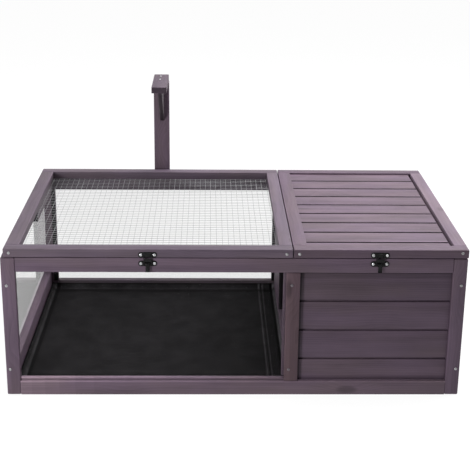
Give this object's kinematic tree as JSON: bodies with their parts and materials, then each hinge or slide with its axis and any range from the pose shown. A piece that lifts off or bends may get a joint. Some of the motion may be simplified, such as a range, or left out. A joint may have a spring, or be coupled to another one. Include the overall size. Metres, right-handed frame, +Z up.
{
  "type": "tortoise enclosure",
  "caption": "Low timber reptile enclosure: glazed run under a hinged wire-mesh lid, boarded hide under a solid hinged lid, draw latches and a lamp arm at the rear.",
  "frame": {"origin": "middle of the underside of the body, where it stands", "axes": "+X to the right along the front, +Y from the front to the rear, +Z up"},
  "size_m": [0.9658, 0.6648, 0.5654],
  "materials": {
    "top_timber": "stained, satin",
    "frame_timber": "stained, satin",
    "hide_timber": "stained, satin",
    "clear_pane": "clear acrylic",
    "liner_fabric": "matte, waterproof coated",
    "black_hardware": "black, semi-gloss",
    "zinc_hardware": "zinc plated"
  },
  "bodies": {
    "enclosure": {"front_left_post": "frame_timber", "front_right_post": "hide_timber", "front_top_rail": "frame_timber", "front_bottom_rail": "frame_timber", "front_mid_post": "hide_timber", "divider_cleat": "frame_timber", "rear_left_post": "frame_timber", "rear_right_post": "frame_timber", "rear_top_rail": "frame_timber", "rear_bottom_rail": "frame_timber", "rear_mid_post": "frame_timber", "left_bottom_board": "frame_timber", "left_top_rail": "frame_timber", "left_inner_rail": "frame_timber", "left_rail_bracket": "black_hardware", "right_bottom_rail": "frame_timber", "right_top_rail": "frame_timber", "front_pane": "clear_pane", "rear_pane": "clear_pane", "left_pane": "clear_pane", "hide_front_board_1": "hide_timber", "hide_front_board_2": "hide_timber", "hide_front_board_3": "hide_timber", "hide_front_board_4": "hide_timber", "hide_right_panel": "hide_timber", "hide_rear_panel": "hide_timber", "divider": "frame_timber", "floor_board": "frame_timber", "run_liner": "liner_fabric", "left_lid_left_hinge_body_leaf": "zinc_hardware", "left_lid_right_hinge_body_leaf": "zinc_hardware", "right_lid_left_hinge_body_leaf": "zinc_hardware", "right_lid_right_hinge_body_leaf": "zinc_hardware", "left_latch_base": "black_hardware", "right_latch_base": "black_hardware", "lamp_spacer": "frame_timber", "lamp_post": "frame_timber", "lamp_arm": "frame_timber", "lamp_brace": "hide_timber"},
    "left_lid": {"left_lid_front_rail": "top_timber", "left_lid_rear_rail": "top_timber", "left_lid_left_member": "top_timber", "left_lid_right_member": "top_timber", "left_lid_mesh": "zinc_hardware", "left_lid_left_hinge_lid_leaf": "zinc_hardware", "left_lid_right_hinge_lid_leaf": "zinc_hardware", "left_latch_catch": "black_hardware"},
    "right_lid": {"right_lid_front_rail": "top_timber", "right_lid_rear_rail": "top_timber", "right_lid_left_member": "top_timber", "right_lid_right_member": "top_timber", "right_lid_boards": "top_timber", "right_lid_left_hinge_lid_leaf": "zinc_hardware", "right_lid_right_hinge_lid_leaf": "zinc_hardware", "right_latch_catch": "black_hardware"},
    "left_lever": {"left_latch_lever": "black_hardware"},
    "left_bail": {"left_latch_bail": "black_hardware"},
    "right_lever": {"right_latch_lever": "black_hardware"},
    "right_bail": {"right_latch_bail": "black_hardware"}
  },
  "joints": [
    {"name": "left_lid_hinge", "type": "hinge", "parent": "enclosure", "child": "left_lid", "pos_m": [-0.1785, 0.3083, 0.31125], "axis": [-1, 0, 0], "range_deg": [0, 55]},
    {"name": "right_lid_hinge", "type": "hinge", "parent": "enclosure", "child": "right_lid", "pos_m": [0.30215, 0.3083, 0.31125], "axis": [-1, 0, 0], "range_deg": [0, 105]},
    {"name": "left_lever_pivot", "type": "hinge", "parent": "enclosure", "child": "left_lever", "pos_m": [-0.18, -0.3092, 0.2995], "axis": [-1, 0, 0], "range_deg": [0, 150]},
    {"name": "left_bail_pivot", "type": "hinge", "parent": "left_lever", "child": "left_bail", "pos_m": [-0.18, -0.3092, 0.2955], "axis": [-1, 0, 0], "range_deg": [-180, 0]},
    {"name": "right_lever_pivot", "type": "hinge", "parent": "enclosure", "child": "right_lever", "pos_m": [0.29915, -0.3092, 0.2995], "axis": [-1, 0, 0], "range_deg": [0, 150]},
    {"name": "right_bail_pivot", "type": "hinge", "parent": "right_lever", "child": "right_bail", "pos_m": [0.29915, -0.3092, 0.2955], "axis": [-1, 0, 0], "range_deg": [-180, 0]}
  ],
  "couplings": [
    {"joint": "left_bail_pivot", "follows": "left_lever_pivot", "ratio": -1.2},
    {"joint": "right_bail_pivot", "follows": "right_lever_pivot", "ratio": -1.2}
  ]
}
